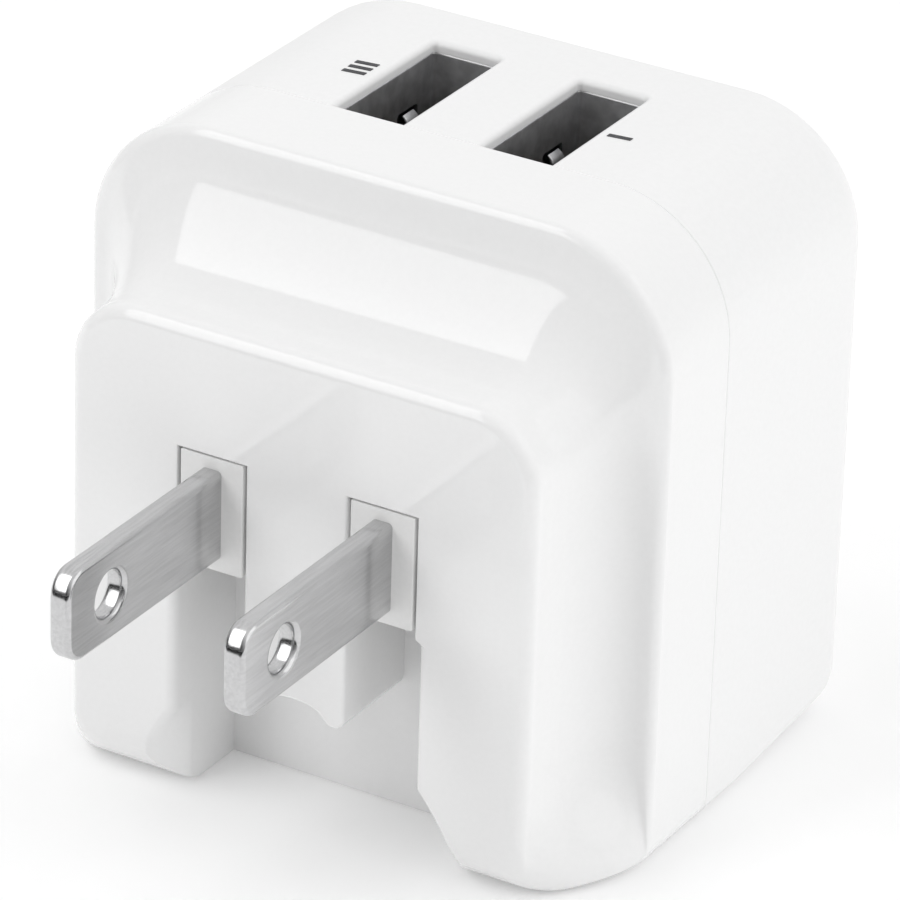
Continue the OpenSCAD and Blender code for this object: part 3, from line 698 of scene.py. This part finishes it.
# the softbox stands over the wall face, the side light to the right of the charger
lamps = {
    "softbox": {"place": (-0.23, -0.315, 0.315), "along": (0, 0.71, 0.71),
                "size": (0.20, 0.62), "power": 1.0},
    "sideLight": {"place": (0.80, 0.15, 0.42), "along": (0, 0, 1), "size": (1.0, 0.9), "power": 1.65},
}


def makeLight(name, values):
    # the lamp faces the charger, with its length turned to lie along the given direction
    light = bpy.data.lights.new(name, "AREA")
    light.shape = "RECTANGLE"
    light.size, light.size_y = values["size"]
    light.energy = values["power"]
    lamp = bpy.data.objects.new(name, light)
    place = Vector(values["place"])
    away = place.normalized()
    along = Vector(values["along"])
    along = (along - away * along.dot(away)).normalized()
    turn = Matrix((along.cross(away), along, away)).transposed().to_4x4()
    lamp.matrix_world = Matrix.Translation(place) @ turn
    lamp.visible_camera = False
    bpy.context.scene.collection.objects.link(lamp)


floorLook = {
    "size": 6, "drop": 0.00005, "grain": 40,
    "dark": (0.93, 0.93, 0.93), "light": (0.96, 0.96, 0.96), "glow": 0.11,
}


def makeFloor():
    clearSelection()
    floorZ = housing["bottom"] * mm - floorLook["drop"]
    bpy.ops.mesh.primitive_plane_add(size=floorLook["size"], location=(0, 0, floorZ))
    floor = bpy.context.object
    floor.name = "floor"
    material, nodes, links, shader = newMaterial("pale floor")
    noise = addNoise(nodes, links, floorLook["grain"])
    tint = addTint(nodes, links, noise, floorLook["dark"], floorLook["light"])
    links.new(tint, shader.inputs["Base Color"])
    shader.inputs["Roughness"].default_value = 0.9
    shader.inputs["Emission Color"].default_value = (1, 1, 1, 1)
    shader.inputs["Emission Strength"].default_value = floorLook["glow"]
    floor.data.materials.append(material)
    return floorZ


flag = {"near": -0.075, "depth": 0.8, "width": 1.6, "lift": 0.001}


def makeFlag(floorZ):
    # black card that only reflections see, for the dark streaks in polished metal
    middle = (0, flag["near"] - flag["depth"] / 2, floorZ + flag["lift"])
    bpy.ops.mesh.primitive_plane_add(size=1, location=middle)
    card = bpy.context.object
    card.name = "flag"
    card.scale = (flag["width"], flag["depth"], 1)
    material, *_, shader = newMaterial("black card")
    shader.inputs["Base Color"].default_value = (0.01, 0.01, 0.01, 1)
    shader.inputs["Roughness"].default_value = 0.9
    shader.inputs["Specular IOR Level"].default_value = 0.0
    card.data.materials.append(material)
    card.visible_camera = False
    card.visible_diffuse = False
    card.visible_shadow = False


# brightest towards one direction, above and behind the charger
sky = {"towards": (0.25, 0.65, 0.7), "from": -0.7, "to": 0.6, "dark": 0.03, "bright": 0.90}


def makeSky():
    world = bpy.data.worlds.new("studio")
    world.use_nodes = True
    nodes = world.node_tree.nodes
    links = world.node_tree.links
    coords = nodes.new("ShaderNodeTexCoord")
    lean = nodes.new("ShaderNodeVectorMath")
    lean.operation = "DOT_PRODUCT"
    lean.inputs[1].default_value = sky["towards"]
    links.new(coords.outputs["Generated"], lean.inputs[0])
    remap = nodes.new("ShaderNodeMapRange")
    remap.interpolation_type = "SMOOTHSTEP"
    remap.inputs["From Min"].default_value = sky["from"]
    remap.inputs["From Max"].default_value = sky["to"]
    remap.inputs["To Min"].default_value = sky["dark"]
    remap.inputs["To Max"].default_value = sky["bright"]
    links.new(lean.outputs["Value"], remap.inputs["Value"])
    links.new(remap.outputs["Result"], nodes["Background"].inputs["Strength"])
    nodes["Background"].inputs["Color"].default_value = (1, 1, 1, 1)
    bpy.context.scene.world = world
    bpy.context.scene.view_settings.view_transform = "Standard"


makeCamera()
makeFlag(makeFloor())
makeSky()
for lampName, values in lamps.items():
    makeLight(lampName, values)
print("studio ready")
